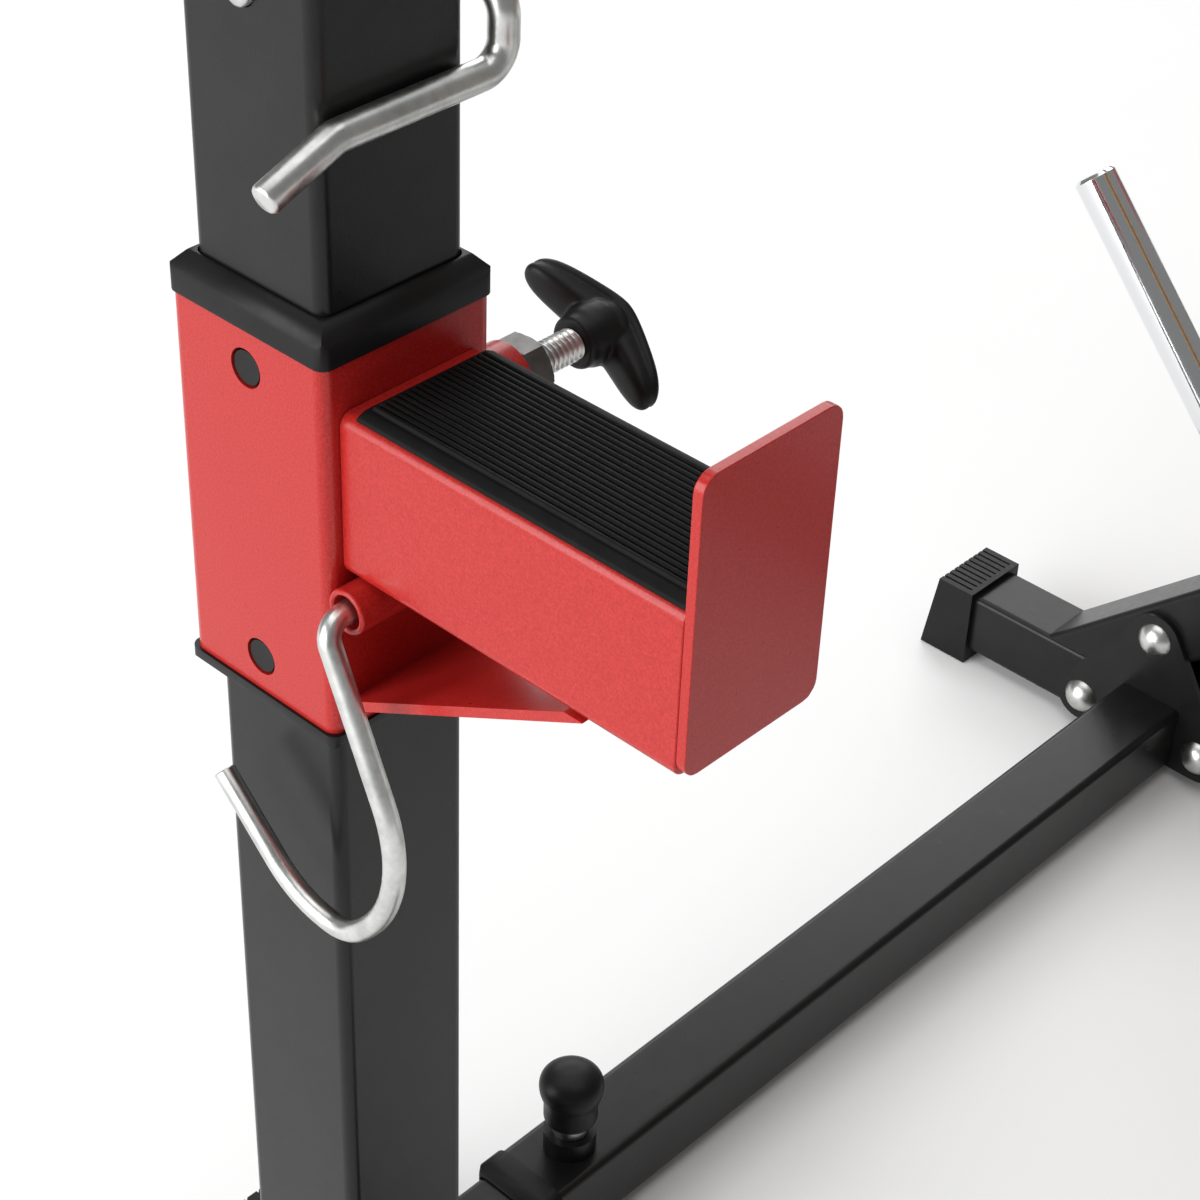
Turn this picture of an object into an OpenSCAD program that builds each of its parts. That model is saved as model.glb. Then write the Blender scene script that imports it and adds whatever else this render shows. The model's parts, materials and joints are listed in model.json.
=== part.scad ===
// Adjustable weight bench with two width-adjustable bar stands and sliding safety arms.
// Millimetres. X runs across the bench, -Y towards the foot end, +Y towards the stands, Z up.
// The origin is on the floor, at the centre of the footprint.

/* [Layout] */
// Distance from the centre plane to each upright's axis
stand_x = 512; // [480:1:560]
// Reach of the base in front of the stands
front_reach = 1059; // [1000:1:1200]
// Reach of the base behind the stands
rear_reach = 130; // [120:1:180]
// Angle of the backrest above the floor, in steps of one adjusting hole
back_angle = 36; // [0:12:72]

/* [Base tubes] */
// Outer side of the square base tubes
base_tube = 32; // [30:1:36]
// Wall of the base tubes
base_wall = 2; // [1.5:0.5:3]
// Clearance of the base tubes above the floor
base_lift = 6; // [4:1:10]
// Half length of the front foot, without its caps
front_foot_half = 210; // [150:5:260]
// Side of the tube that slides in each crossbar
slider_tube = 27; // [26:0.5:27]

/* [Posts and seat rail] */
// Slope of the main post above the floor
post_slope = 42; // [38:1:46]
// Bottom of the seat rail
rail_z = 300; // [280:5:320]
// Height of the seat rail's section
rail_h = 50; // [40:5:50]

/* [Storage peg] */
// Diameter of the storage peg
peg_d = 19; // [18:0.5:25]
// Length of the storage peg
peg_len = 187; // [120:1:220]
// Distance of the storage peg from the foot of the main post
peg_along = 136.4; // [120:0.1:180]

/* [Uprights] */
// Outer side of the square uprights
upright = 50; // [48:1:50]
// Corner radius of the uprights
upright_r = 4; // [3:0.5:6]
// Top of the uprights
upright_top = 640; // [620:5:660]
// Side of the telescoping posts
post_tube = 44; // [42:0.5:44]
// Top of the telescoping posts
post_top = 930; // [900:5:960]
// Distance between the height holes
height_pitch = 25; // [25:1:25]

/* [Safety arms] */
// Outer side of the sliding sleeve
sleeve = 60; // [60:1:62]
// Bottom of the sleeve
sleeve_z = 330; // [320:1:335]
// Height of the sleeve
sleeve_h = 117; // [115:1:120]
// Side of the square arm tube
arm = 50; // [46:1:50]
// Distance of the arm's top below the sleeve's top
arm_drop = 14; // [12:1:16]
// Reach of the arm from the upright's axis
arm_reach = 148; // [130:1:170]
// Height of the end plate
plate_h = 87; // [80:1:95]
// Thickness of the end plate
plate_t = 3; // [3:0.5:5]
// Number of ribs on the arm pad
pad_ribs = 17; // [9:1:21]

/* [Pins and screws] */
// Diameter of the locking pin
lock_d = 8.5; // [8:0.5:9]
// Height of the locking pin's axis
lock_z = 538; // [530:1:545]
// Diameter of the bar hook's rod
hook_d = 6.6; // [6:0.2:7]
// Diameter of the clamp screw
screw_d = 10.5; // [10:0.5:12]
// Length of the clamp knob's handle
knob_len = 57; // [50:1:64]

/* [Cushions] */
// Width of the backrest
back_w = 250; // [220:5:280]
// Length of the backrest
back_len = 690; // [640:5:700]
// Width of the seat
seat_w = 290; // [240:5:320]
// Length of the seat
seat_len = 290; // [260:5:300]
// Thickness of the cushions
cushion_t = 48; // [40:1:50]

/* [Hidden] */
$fn = 48;
steel = "#2b2a2a";
plastic = "#1c1b1b";
red = "#c8342e";
zinc = "#b9bcba";
chrome = "#d7d9da";
vinyl = "#202024";
ply = "#a98456";

side_gap = 0.3;
bend_gap = 0.1;
bend_bead = 0.2;
rack_y = (front_reach - rear_reach) / 2;
base_top = base_lift + base_tube;
base_mid = base_lift + base_tube / 2;
cap_wall = 3;
cap_len = 26.5;
cap_lean = 6.5;
cap_hold = 17;
cap_out = cap_len - cap_hold;

// Base, measured from the stands' plane
foot_y = cap_wall + base_tube / 2 - front_reach;
spine_rear = rear_reach - cap_out;
plate_gap = base_tube / 2;
bracket_t = 3;
bracket_pts = [[36, 17.7], [-29, 17.7], [3.4, 68.5]];
bracket_r = 13;
bolt_d = 8;
bolt_head = 17;
collar_in = stand_x - 84;
collar_out = stand_x - 71.5;
width_pin_x = stand_x - 105;
width_pitch = 20;
width_pin_d = 6;
pin_boss = 8.3;
pin_barrel = 6;
slider_len = 300;

// Main post: its rear face leaves the spine at post_foot
post_foot = 61;
rail_top = rail_z + rail_h;
rail_front = -930;
rail_rear = -215;
front_post_y = -900;

// Backrest hinge, adjusting quadrant and pull pin
hinge_y = -660;
hinge_z = 380;
hinge_bolt = 10;
hub_d = 22;
ear_t = 4;
quad_in = 20.6;
quad_t = 5;
quad_r = 115;
quad_pin_a = -28;
quad_step = 12;
quad_pin_d = 9.5;
quad_pin_y = hinge_y + quad_r * cos(quad_pin_a);
quad_pin_z = hinge_z + quad_r * sin(quad_pin_a);
back_bar = 25;
board_t = 12;
board_low = 12;
cushion_low = board_low + board_t;

// Seat
seat_rear = -731;
seat_z = hinge_z + board_low;

// Stand
foot_front = -235;
foot_back = 60;
lock_front = -(upright / 2 + lock_d / 2 + 0.25);
catch_z = 850;

// Safety arm
sleeve_wall = 2.5;
sleeve_top = sleeve_z + sleeve_h;
arm_top = sleeve_top - arm_drop;
arm_z = arm_top - arm;
clamp_z = sleeve_z + 62;
boss_end = sleeve / 2 + 36;
nut_end = boss_end + 9.6;
knob_x = nut_end + 17.4;
button_d = 11.5;
button_in = 11.6;
bush_gap = 0.4;
bush_neck = 36;
hook_tube_d = 13.4;
hook_tube_wall = 1.7;
hook_mouth = 9;
hook_y = -sleeve / 2 - hook_tube_d / 2 + 0.3;
hook_z = arm_z - hook_tube_d / 2;
hook_x = -38;

// ---- Sections, tubes and bent rods ----

// Outline of a rectangle with round corners, centred
function round_rect(a, b, r, steps = 5) = [
    for (corner = [0:3]) for (i = [0:steps])
        let (turn = corner * 90 + i * 90 / steps)
        let (cx = (a / 2 - r) * ((corner == 0 || corner == 3) ? 1 : -1))
        let (cy = (b / 2 - r) * (corner < 2 ? 1 : -1))
        [cx + r * cos(turn), cy + r * sin(turn)]
];

module ring_section(a, b, r, wall) {
    difference() {
        polygon(round_rect(a, b, r));
        polygon(round_rect(a - 2 * wall, b - 2 * wall, max(r - wall, 0.8)));
    }
}

// Square tubes along each axis, placed by the low end and the centre of the section
module tube_z(len, a, b, r = 3, wall = base_wall) {
    linear_extrude(len) ring_section(a, b, r, wall);
}

module tube_y(len, a, b, r = 3, wall = base_wall) {
    translate([0, len, 0]) rotate([90, 0, 0]) linear_extrude(len) ring_section(a, b, r, wall);
}

module tube_x(len, a, b, r = 3, wall = base_wall) {
    rotate([0, 90, 0]) linear_extrude(len) ring_section(b, a, r, wall);
}

// Flat plate in the YZ plane, from a list of [y, z] points
module yz_plate(x, t, pts) {
    translate([x, 0, 0]) rotate([90, 0, 90]) linear_extrude(t) polygon(pts);
}

module rod_x(x0, x1, d) {
    translate([x0, 0, 0]) rotate([0, 90, 0]) cylinder(h = x1 - x0, d = d);
}

function unit(v) = v / norm(v);

// Turns what stands on the origin along +Z so that it points along v, and moves it to p
module aim(p, v) {
    translate(p) rotate([0, acos(v[2] / norm(v)), atan2(v[1], v[0])]) children();
}

module rod_between(p, q, d) {
    aim(p, q - p) cylinder(h = norm(q - p), d = d);
}

// Where a bend of radius r leaves the leg from point p towards point q, at the corner's turn angle
function turn_at(a, p, b) = 180 - acos(unit(a - p) * unit(b - p));
function leave(a, p, b, r) = p + unit(b - p) * r * tan(turn_at(a, p, b) / 2);

// One elbow, an arc of a torus, at corner p between the legs to a and b. It stops short of both
// legs, and a ball a touch wider than the rod closes each of those joints.
module elbow(a, p, b, r, d) {
    trim = bend_gap / r * 180 / PI;
    start = leave(b, p, a, r);
    end = leave(a, p, b, r);
    mid = p + unit(unit(a - p) + unit(b - p)) * r / cos(turn_at(a, p, b) / 2);
    ex = unit(start - mid);
    ez = unit(cross(start - mid, end - mid));
    ey = cross(ez, ex);
    multmatrix([
        [ex[0], ey[0], ez[0], mid[0]],
        [ex[1], ey[1], ez[1], mid[1]],
        [ex[2], ey[2], ez[2], mid[2]],
        [0, 0, 0, 1]
    ]) rotate([0, 0, trim]) rotate_extrude(angle = turn_at(a, p, b) - 2 * trim)
        translate([r, 0]) circle(d = d, $fn = 32);
    for (joint = [start, end]) aim(joint, joint - p) sphere(d = d + bend_bead, $fn = 32);
}

// A round rod along straight legs, with one bend radius per inner corner
module bent_rod(pts, radii, d) {
    last = len(pts) - 1;
    for (i = [0:last - 1]) {
        from = i == 0 ? pts[0] : leave(pts[i - 1], pts[i], pts[i + 1], radii[i - 1]);
        to = i == last - 1 ? pts[last] : leave(pts[i + 2], pts[i + 1], pts[i], radii[i]);
        way = unit(to - from) * bend_gap;
        rod_between(from + (i == 0 ? 0 : 1) * way, to - (i == last - 1 ? 0 : 1) * way, d);
    }
    for (i = [1:last - 1]) elbow(pts[i - 1], pts[i], pts[i + 1], radii[i - 1], d);
}

// Everything measured from the stands' plane
module base() {
    translate([0, rack_y, 0]) children();
}

// A part of the left stand, drawn around its upright's axis, and its mirror image
module left() {
    base() translate([-stand_x, 0, 0]) children();
}

module right() {
    mirror([1, 0, 0]) left() children();
}

// ---- Base and frame ----

// Cap over a tube end that points along +Y: its mouth is at y = 0, its end leans back, and fine
// grooves run over its top and down its end
module foot_cap(w, h) {
    outer = w + 2 * cap_wall;
    top = base_lift + h + cap_wall;
    groove = 1.2;
    deep = 0.6;
    rim = 3;
    difference() {
        yz_plate(-outer / 2, outer, [[0, 0], [cap_len, 0], [cap_len - cap_lean, top], [0, top]]);
        translate([0, -1, base_lift + h / 2]) tube_core(cap_hold + 1, w, h);
        for (i = [-4:4]) yz_plate(i * outer / 10 - groove / 2, groove, [
            [rim, top - deep], [cap_len - cap_lean - deep, top - deep], [cap_len - deep, rim],
            [cap_len + 1, rim], [cap_len + 1, top + 1], [rim, top + 1]
        ]);
    }
}

module tube_core(len, w, h) {
    translate([0, len, 0]) rotate([90, 0, 0]) linear_extrude(len) polygon(round_rect(w, h, 3));
}

module spine() {
    color(steel) base() difference() {
        translate([0, foot_y + base_tube / 2, base_mid])
            tube_y(spine_rear - foot_y - base_tube / 2, base_tube, base_tube);
        for (i = [0:1]) translate([0, bracket_pts[i][0], bracket_pts[i][1]])
            rod_x(-base_tube, base_tube, bolt_d + 0.4);
    }
}

module front_foot() {
    color(steel) base() translate([-front_foot_half, foot_y, base_mid])
        tube_x(2 * front_foot_half, base_tube, base_tube);
}

module foot_caps() {
    color(plastic) base() {
        translate([0, spine_rear - cap_hold, 0]) foot_cap(base_tube, base_tube);
        for (s = [-1, 1]) translate([s * (front_foot_half - cap_hold), foot_y, 0])
            rotate([0, 0, -90 * s]) foot_cap(base_tube, base_tube);
    }
}

module main_post() {
    color(steel) base() difference() {
        intersection() {
            translate([0, post_foot, base_top]) rotate([90 - post_slope, 0, 0])
                translate([0, -base_tube / 2, -80]) tube_z(700, base_tube, base_tube);
            translate([-50, -500, base_top]) cube([100, 700, rail_z - base_top]);
        }
        translate([0, bracket_pts[2][0], bracket_pts[2][1]])
            rod_x(-base_tube, base_tube, bolt_d + 0.4);
    }
}

module front_post() {
    color(steel) base() translate([0, front_post_y, base_top])
        tube_z(rail_z - base_top, base_tube, base_tube);
}

module ear(x) {
    difference() {
        yz_plate(x, ear_t, [
            [hinge_y - 32, rail_z + 12], [hinge_y + 32, rail_z + 12], [hinge_y + 32, rail_top + 6],
            [hinge_y + 14, hinge_z + 8], [hinge_y + 7, hinge_z + 14], [hinge_y - 7, hinge_z + 14],
            [hinge_y - 14, hinge_z + 8], [hinge_y - 32, rail_top + 6]
        ]);
        translate([0, hinge_y, hinge_z]) rod_x(x - 1, x + ear_t + 1, hinge_bolt + 0.1);
    }
}

module seat_rail() {
    color(steel) base() {
        difference() {
            translate([0, rail_front, rail_z + rail_h / 2])
                tube_y(rail_rear - rail_front, base_tube, rail_h);
            translate([0, quad_pin_y, quad_pin_z]) rod_x(-30, 30, quad_pin_d + 0.4);
        }
        ear(base_tube / 2);
        ear(-base_tube / 2 - ear_t);
        seat_bars();
        translate([0, quad_pin_y, quad_pin_z]) difference() {
            rod_x(-base_tube / 2 - 20, -base_tube / 2, 20);
            rod_x(-base_tube / 2 - 21, -base_tube / 2 + 1, quad_pin_d + 0.2);
        }
    }
}

module rail_plugs() {
    color(plastic) base() for (end = [[rail_front - 4, 0], [rail_rear, 1]])
        translate([0, end[0], rail_z + rail_h / 2]) {
            translate([0, 4, 0]) rotate([90, 0, 0]) linear_extrude(4)
                polygon(round_rect(base_tube, rail_h, 3));
            translate([0, end[1] == 1 ? -12 : 4, 0])
                translate([0, 12, 0]) rotate([90, 0, 0]) linear_extrude(12)
                polygon(round_rect(base_tube - 2 * base_wall - 0.2, rail_h - 2 * base_wall - 0.2, 1));
        }
}

// The peg stands square on the rear face of the main post
module storage_peg() {
    tip = 1.5;
    color(chrome) base()
        translate([0, post_foot - peg_along * cos(post_slope), base_top + peg_along * sin(post_slope)])
        rotate([-post_slope, 0, 0]) {
            cylinder(h = peg_len - tip, d = peg_d);
            translate([0, 0, peg_len - tip]) cylinder(h = tip, d1 = peg_d, d2 = peg_d - 2 * tip);
            cylinder(h = 4, d = peg_d + 8);
        }
}

// Triangle with round corners, as the shape swept by a disc of radius r
module round_triangle(pts, r) {
    polygon(pts);
    for (i = [0:2]) {
        p = pts[i];
        q = pts[(i + 1) % 3];
        side = [q[1] - p[1], p[0] - q[0]] * r / norm(q - p);
        translate(p) circle(r);
        polygon([p, p + side, q + side, q]);
        polygon([p, p - side, q - side, q]);
    }
}

module bracket_plates() {
    color(steel) base() for (x = [-plate_gap - bracket_t, plate_gap])
        translate([x, 0, 0]) rotate([90, 0, 90]) linear_extrude(bracket_t) difference() {
            round_triangle(bracket_pts, bracket_r);
            for (p = bracket_pts) translate(p) circle(d = bolt_d + 0.4);
        }
}

module bracket_bolts() {
    half = plate_gap + bracket_t;
    dome = 5.5;
    ball = (bolt_head * bolt_head / 4 + dome * dome) / (2 * dome);
    color(zinc) base() for (p = bracket_pts) translate([0, p[0], p[1]]) {
        rod_x(-half, half, bolt_d);
        for (s = [-1, 1]) intersection() {
            translate([s * (half + dome - ball), 0, 0]) sphere(ball);
            translate([s > 0 ? half : -half - dome, 0, 0]) rod_x(0, dome, bolt_head);
        }
    }
}

// Each crossbar starts beside a bracket plate and carries the housing of its pull pin
module crossbar() {
    inner = plate_gap + bracket_t;
    translate([-collar_in, 0, 0]) difference() {
        union() {
            translate([0, 0, base_mid]) tube_x(collar_in - inner, base_tube, base_tube);
            translate([collar_in - width_pin_x, 0, base_top]) cylinder(h = pin_boss, d = 20);
        }
        translate([collar_in - width_pin_x, 0, base_mid])
            cylinder(h = base_tube, d = width_pin_d + 0.4);
    }
}

module crossbars() {
    color(steel) base() {
        crossbar();
        mirror([1, 0, 0]) crossbar();
    }
}

module crossbar_collar() {
    hole = slider_tube + 2 * side_gap;
    wide = base_tube + 4;
    long = collar_out - collar_in;
    difference() {
        intersection() {
            linear_extrude(long) polygon(round_rect(wide, wide, 7));
            lip_slice(wide, long, 3.6, 6);
            rotate([0, 0, 90]) lip_slice(wide, long, 3.6, 6);
        }
        translate([0, 0, -1]) linear_extrude(long + 2) polygon(round_rect(hole, hole, 2));
    }
}

module crossbar_collars() {
    color(plastic) base() for (s = [-1, 1])
        translate([s * collar_in, 0, base_mid]) rotate([0, s * 90, 0]) crossbar_collar();
}

module width_barrels() {
    color(zinc) base() for (s = [-1, 1]) translate([s * width_pin_x, 0, base_top + pin_boss])
        difference() {
            cylinder(h = pin_barrel, d = 14);
            translate([0, 0, -1]) cylinder(h = pin_barrel + 2, d = width_pin_d + 0.2);
        }
}

// Pull pin of the crossbar: a shank with a mushroom knob
module width_knob() {
    low = pin_boss + pin_barrel + 0.4;
    reach = 7;
    translate([-width_pin_x, 0, base_top]) {
        translate([0, 0, -reach]) cylinder(h = reach + low + 4, d = width_pin_d);
        translate([0, 0, low]) rotate_extrude() polygon([
            [0, 0], [9.4, 0], [10.2, 1.2], [10.2, 7], [10.6, 10], [11.5, 12.8], [12.1, 15.6],
            [12, 18.6], [10.8, 21.4], [8, 23.6], [4.4, 24.6], [0, 24.6]
        ]);
    }
}

// ---- Backrest and seat ----

// Backrest parts, drawn flat with the hinge at the origin and turned to back_angle
module backrest() {
    base() translate([0, hinge_y, hinge_z]) rotate([back_angle, 0, 0]) children();
}

module hinge_bolt() {
    half = plate_gap + ear_t;
    color(zinc) base() translate([0, hinge_y, hinge_z]) {
        rod_x(-half, half, hinge_bolt);
        rod_x(half, half + 5.5, 16);
        translate([-half - 6.4, 0, 0]) rotate([0, 90, 0]) cylinder(h = 6.4, d = 18.4, $fn = 6);
    }
}

module backrest_frame() {
    hub = base_tube - 2 * side_gap;
    flat_w = 35;
    color(steel) backrest() {
        difference() {
            union() {
                translate([0, 6, -4.5]) tube_y(back_len - 90, back_bar, back_bar);
                rod_x(-hub / 2, hub / 2, hub_d);
            }
            rod_x(-hub, hub, hinge_bolt + 0.1);
        }
        for (y = [96, back_len - 190]) translate([-back_w / 2 + 20, y, board_low - 4])
            cube([back_w - 40, flat_w, 4]);
    }
}

// Quadrant plate with one hole per backrest step
module quadrant() {
    first = quad_pin_a;
    low = first - 6 * quad_step - 10;
    high = first + 12;
    r_out = quad_r + 15;
    r_in = quad_r - 15;
    bar_y = 96;
    color(steel) backrest() difference() {
        translate([quad_in, 0, 0]) rotate([90, 0, 90]) linear_extrude(quad_t) union() {
            polygon(concat(
                [for (a = [low:4:high]) [r_out * cos(a), r_out * sin(a)]],
                [[bar_y + 32, board_low - 4], [bar_y + 3, board_low - 4]],
                [for (a = [high:-4:low]) [r_in * cos(a), r_in * sin(a)]]
            ));
        }
        for (k = [0:6]) rotate([first - k * quad_step, 0, 0]) translate([0, quad_r, 0])
            rod_x(quad_in - 1, quad_in + quad_t + 1, quad_pin_d + 0.5);
    }
}

// Flat slab with round corners, from y = 0 towards +Y
module slab(w, len, r, t) {
    translate([0, len / 2, 0]) linear_extrude(t) polygon(round_rect(w, len, r, 8));
}

module backrest_board() {
    color(ply) backrest() translate([0, 14, board_low]) slab(back_w - 12, back_len - 12, 22, board_t);
}

module backrest_cushion() {
    color(vinyl) backrest() translate([0, 8, cushion_low]) slab(back_w, back_len, 26, cushion_t);
}

module backrest_pin() {
    color(zinc) base() translate([0, quad_pin_y, quad_pin_z])
        rod_x(-base_tube / 2 - 34, quad_in + quad_t + 1, quad_pin_d);
}

module backrest_pin_knob() {
    face = -base_tube / 2 - 22;
    color(plastic) base() translate([0, quad_pin_y, quad_pin_z]) difference() {
        translate([face, 0, 0]) rotate([0, -90, 0]) rotate_extrude() polygon([
            [0, 0], [8, 0], [9, 2], [8.6, 12], [10, 17], [13, 20], [14.5, 24],
            [14.2, 28], [12, 32], [7, 35], [0, 36]
        ]);
        rod_x(-base_tube / 2 - 34, 0, quad_pin_d);
    }
}

// Cross tubes on the rail that carry the seat
module seat_bars() {
    for (y = [seat_rear - 60, seat_rear - seat_len + 60])
        translate([-seat_w / 2 + 25, y, (rail_top + seat_z) / 2])
        tube_x(seat_w - 50, base_tube, seat_z - rail_top);
}

module seat_board() {
    color(ply) base() translate([0, seat_rear - seat_len + 6, seat_z])
        slab(seat_w - 12, seat_len - 12, 30, board_t);
}

module seat_cushion() {
    color(vinyl) base() translate([0, seat_rear - seat_len, seat_z + board_t])
        slab(seat_w, seat_len, 34, cushion_t);
}

// ---- Stands, drawn for the left one: -X is outwards ----

module upright() {
    color(steel) difference() {
        translate([0, 0, base_top]) tube_z(upright_top - base_top, upright, upright, upright_r);
        translate([0, 0, lock_z]) rod_x(-upright, upright, lock_d + 0.5);
    }
}

module stand_foot() {
    color(steel) translate([0, foot_front, base_mid])
        tube_y(foot_back - foot_front, upright, base_tube);
}

module stand_foot_caps() {
    color(plastic) {
        translate([0, foot_back - cap_hold, 0]) foot_cap(upright, base_tube);
        translate([0, foot_front + cap_hold, 0]) rotate([0, 0, 180]) foot_cap(upright, base_tube);
    }
}

module slider() {
    color(steel) difference() {
        translate([upright / 2, 0, base_mid]) tube_x(slider_len, slider_tube, slider_tube, 2.5);
        for (k = [-1:5]) translate([stand_x - width_pin_x + k * width_pitch, 0, base_mid])
            cylinder(h = slider_tube, d = width_pin_d + 1);
    }
}

module top_bush() {
    bore = post_tube + 2 * side_gap;
    neck = upright - 2 * base_wall - 0.2;
    color(plastic) difference() {
        union() {
            translate([0, 0, upright_top]) linear_extrude(8) polygon(round_rect(upright + 3, upright + 3, 5));
            translate([0, 0, upright_top - 40]) linear_extrude(40) polygon(round_rect(neck, neck, 2.4));
        }
        translate([0, 0, upright_top - 41]) linear_extrude(50) polygon(round_rect(bore, bore, 3.4));
    }
}

module height_post() {
    low = lock_z - 4 * height_pitch - 23;
    color(steel) {
        difference() {
            translate([0, 0, low]) tube_z(post_top - low, post_tube, post_tube, 3.5);
            for (k = [-4:2]) translate([0, 0, lock_z + k * height_pitch])
                rod_x(-post_tube, post_tube, lock_d + 0.5);
        }
        translate([0, 0, post_top]) linear_extrude(6) polygon(round_rect(post_tube, post_tube, 5));
    }
}

// J-shaped catch for the bar, a bent strip on the post's front face
module bar_catch() {
    back = -post_tube / 2;
    color(red) yz_plate(-28, 56, [
        [back, catch_z - 45], [back, catch_z + 70], [back - 5, catch_z + 70], [back - 5, catch_z + 5],
        [back - 54, catch_z + 1], [back - 60, catch_z + 5], [back - 63, catch_z + 36],
        [back - 68, catch_z + 36], [back - 65, catch_z + 1], [back - 57, catch_z - 5],
        [back - 12, catch_z - 5], [back - 5, catch_z - 12], [back - 5, catch_z - 45]
    ]);
}

module catch_liner() {
    back = -post_tube / 2 - 5;
    color(plastic) yz_plate(-26, 52, [
        [back, catch_z + 64], [back - 3, catch_z + 64], [back - 3, catch_z + 8],
        [back - 48, catch_z + 4.4], [back - 51, catch_z + 6], [back - 49, catch_z + 1],
        [back, catch_z + 5]
    ]);
}

// Locking pin: through the upright, then round the front as a handle
module lock_pin() {
    in = upright / 2 + lock_d / 2 + 4;
    leg_z = lock_z - 28;
    color(zinc) bent_rod([
        [-upright / 2 - 2.5, 0, lock_z], [in, 0, lock_z], [in, lock_front, lock_z - 9],
        [in, lock_front, leg_z], [-23, lock_front, leg_z - 0.5], [-46, lock_front, leg_z - 9.5]
    ], [8, 8, 8, 9], lock_d);
}

// ---- Safety arm ----

module gusset() {
    rise = sleeve_z + 10;
    reach = (arm_z - rise) / tan(27.9);
    face = -sleeve / 2;
    yz_plate(-arm / 2, arm, [
        [face, rise], [face - reach, arm_z], [face - reach - 6.4, arm_z], [face, rise - 3.4]
    ]);
}

module sleeve_body() {
    color(red) {
        difference() {
            union() {
                translate([0, 0, sleeve_z]) tube_z(sleeve_h, sleeve, sleeve, 4, sleeve_wall);
                translate([0, 0, clamp_z]) rod_x(sleeve / 2 - 0.5, boss_end, 23);
            }
            translate([0, 0, clamp_z]) rod_x(sleeve / 2 - 4, boss_end + 1, screw_d + 0.4);
            for (z = [sleeve_z + button_in, sleeve_top - button_in]) translate([0, 0, z])
                rod_x(-sleeve, 0, button_d);
        }
        gusset();
        translate([0, hook_y, hook_z]) difference() {
            rod_x(-sleeve / 2 + 0.5, arm / 2, hook_tube_d);
            rod_x(-sleeve, sleeve, hook_d + 0.1);
            rod_x(-sleeve, -sleeve / 2 + hook_mouth, hook_tube_d - 2 * hook_tube_wall);
        }
    }
}

// Profile across a lip: straight sides, a round shoulder, then a slope that leans in
function lip_profile(w, lip, lean, drop) = let (side = [
        [w / 2, 0], [w / 2, lip - drop], [w / 2 - 0.05 * lean, lip - 0.9 * drop],
        [w / 2 - 0.16 * lean, lip - 0.75 * drop], [w / 2 - 0.92 * lean, lip - 0.06 * drop],
        [w / 2 - lean, lip]
    ]) concat(side, [for (i = [len(side) - 1:-1:0]) [-side[i][0], side[i][1]]]);

module lip_slice(w, lip, lean, drop) {
    rotate([90, 0, 0]) linear_extrude(2 * w, center = true) polygon(lip_profile(w, lip, lean, drop));
}

// One bush: a neck inside the sleeve, a lip outside and a round button that locks it in
module sleeve_bush(lip, lip_w, lean, drop, neck, button_z) {
    bore = upright + 2 * bush_gap;
    fit = sleeve - 2 * sleeve_wall;
    difference() {
        union() {
            intersection() {
                linear_extrude(lip) polygon(round_rect(lip_w, lip_w, 3.5));
                lip_slice(lip_w, lip, lean, drop);
                rotate([0, 0, 90]) lip_slice(lip_w, lip, lean, drop);
            }
            translate([0, 0, -neck]) linear_extrude(neck) polygon(round_rect(fit, fit, 2));
            translate([0, 0, button_z]) rod_x(-sleeve / 2 + 0.4, -fit / 2 + 1, button_d - 1.6);
        }
        translate([0, 0, -neck - 1]) linear_extrude(neck + lip + 2) polygon(round_rect(bore, bore, 4));
    }
}

module sleeve_bushes() {
    color(plastic) {
        translate([0, 0, sleeve_top]) sleeve_bush(11.5, sleeve + 1, 4.6, 5.6, bush_neck, -button_in);
        translate([0, 0, sleeve_z]) mirror([0, 0, 1])
            sleeve_bush(4.7, sleeve + 2, 1.6, 1.6, bush_neck, -button_in);
    }
}

module arm_tube() {
    color(red) translate([0, -arm_reach, arm_z + arm / 2])
        tube_y(arm_reach - sleeve / 2, arm, arm, 4, 2.5);
}

module end_plate() {
    color(red) translate([0, -arm_reach, arm_z + 1 + plate_h / 2]) rotate([90, 0, 0])
        linear_extrude(plate_t) polygon(round_rect(arm - 0.6, plate_h, 5));
}

module arm_pad() {
    w = arm - 2;
    front = -arm_reach + 0.3;
    back = -sleeve / 2 - 5.7;
    pitch = (w - 4) / pad_ribs;
    color(plastic) translate([0, front, arm_top]) {
        translate([-w / 2, 0, 0]) cube([w, back - front, 2.6]);
        for (i = [0:pad_ribs - 1]) translate([-w / 2 + 2 + (i + 0.2) * pitch, 1.5, 2.6])
            cube([pitch * 0.6, back - front - 3, 1.2]);
    }
}

module jam_nut() {
    color(zinc) translate([0, 0, clamp_z]) difference() {
        translate([boss_end, 0, 0]) rotate([0, 90, 0]) cylinder(h = nut_end - boss_end, d = 21.9, $fn = 6);
        rod_x(boss_end - 1, nut_end + 1, screw_d + 0.2);
    }
}

module clamp_screw() {
    color(zinc) translate([0, 0, clamp_z]) rod_x(upright / 2 + side_gap, knob_x + 10, screw_d);
}

// T-shaped knob: a boss and a bar with round ends, tilted in its own plane
module clamp_knob() {
    bar_x = knob_x + 13;
    half = knob_len / 2 - 5.5;
    color(plastic) translate([0, 0, clamp_z]) difference() {
        union() {
            translate([knob_x, 0, 0]) rotate([0, 90, 0]) cylinder(h = 14, d1 = 17, d2 = 19);
            rotate([27, 0, 0]) hull() {
                for (s = [-1, 1]) translate([bar_x - 2, s * half, 0]) sphere(d = 11, $fn = 24);
                translate([bar_x + 1, 0, 0]) sphere(d = 13, $fn = 24);
            }
        }
        rod_x(knob_x - 1, knob_x + 10, screw_d);
    }
}

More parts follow.
